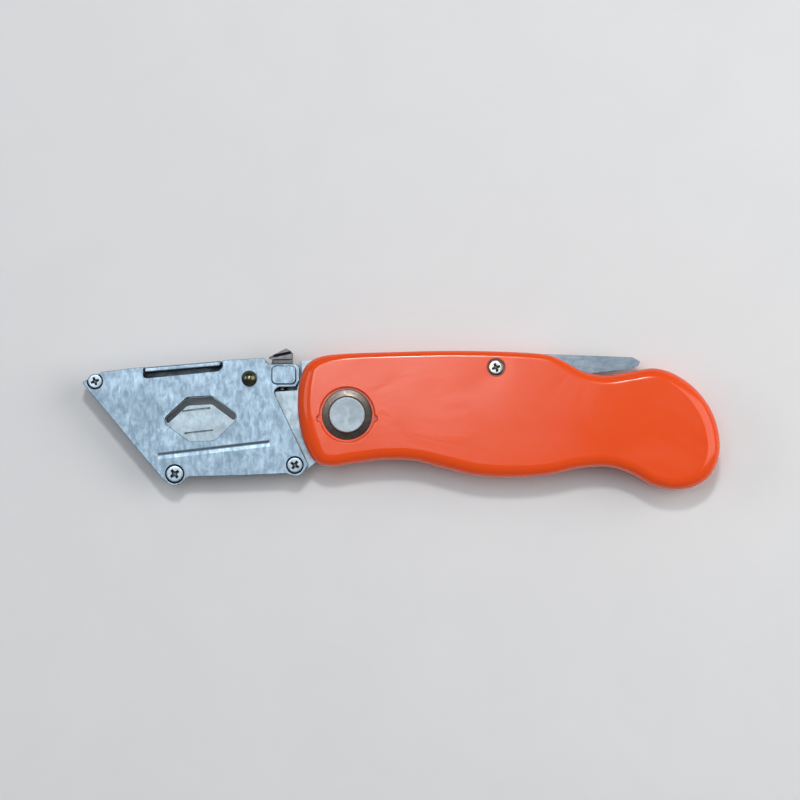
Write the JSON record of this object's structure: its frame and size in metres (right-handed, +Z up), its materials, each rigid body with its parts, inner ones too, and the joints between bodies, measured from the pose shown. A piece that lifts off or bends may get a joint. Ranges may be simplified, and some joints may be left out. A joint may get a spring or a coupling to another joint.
{
  "type": "folding utility knife",
  "caption": "Folding lock-back utility knife with a glossy moulded handle, steel liners, a plated quick-change blade holder, thumb stud, blade latch and rocking lock bar.",
  "frame": {"origin": "the middle of the footprint of the open knife as it lies on its right side, on the surface it rests on", "axes": "X along the knife with the handle at +X and the blade holder at -X, +Y towards the spine, +Z up through the thickness towards the left side"},
  "size_m": [0.1652, 0.0366, 0.0162],
  "materials": {
    "handle_plastic": "glossy moulded orange",
    "liner_steel": "satin",
    "spacer_plastic": "matt black",
    "screw_steel": "nickel plated",
    "disc_metal": "matt",
    "bronze": "turned",
    "ring_steel": "dark turned",
    "bar_steel": "blue-grey, stamped",
    "core_steel": "zinc plated, pale",
    "plate_steel": "zinc plated, mottled",
    "stud_brass": "dark polished",
    "latch_metal": "grey, worn"
  },
  "bodies": {
    "handle": {"left_shell": "handle_plastic", "right_shell": "handle_plastic", "left_liner": "liner_steel", "right_liner": "liner_steel", "rear_spacer": "spacer_plastic", "shell_pins": "screw_steel", "lock_spring": "bar_steel", "pivot_bolt": "disc_metal", "pivot_nut": "disc_metal", "pivot_sleeve": "bronze", "left_pivot_ring": "ring_steel", "right_pivot_ring": "ring_steel", "left_washer": "bronze", "right_washer": "bronze", "lock_screw": "screw_steel", "lock_screw_nut": "screw_steel"},
    "lock_bar": {"lock_bar": "bar_steel"},
    "blade_holder": {"core_plate": "core_steel", "left_plate": "plate_steel", "right_plate": "plate_steel", "upper_rail": "core_steel", "lower_rail": "core_steel", "blade_stop": "core_steel", "plate_screws": "screw_steel", "thumb_stud": "stud_brass", "latch_spring": "screw_steel"},
    "blade_latch": {"blade_latch": "latch_metal"}
  },
  "joints": [
    {"name": "fold_pivot", "type": "hinge", "parent": "handle", "child": "blade_holder", "pos_m": [-0.01395, 0.0011, 0.0081], "axis": [0, 0, 1], "range_deg": [0, 164]},
    {"name": "lock_bar_rock", "type": "hinge", "parent": "handle", "child": "lock_bar", "pos_m": [0.02455, 0.0133, 0.0081], "axis": [0, 0, -1], "range_deg": [0, 3.2], "stiffness_Nm_per_rad": 0.8, "springref_deg": -17.19, "deforming": ["lock_spring"]},
    {"name": "latch_rock", "type": "hinge", "parent": "blade_holder", "child": "blade_latch", "pos_m": [-0.03935, 0.0105, 0.0081], "axis": [0, 0, -1], "range_deg": [0, 5], "stiffness_Nm_per_rad": 0.02, "springref_deg": -57.3, "deforming": ["latch_spring"]}
  ]
}
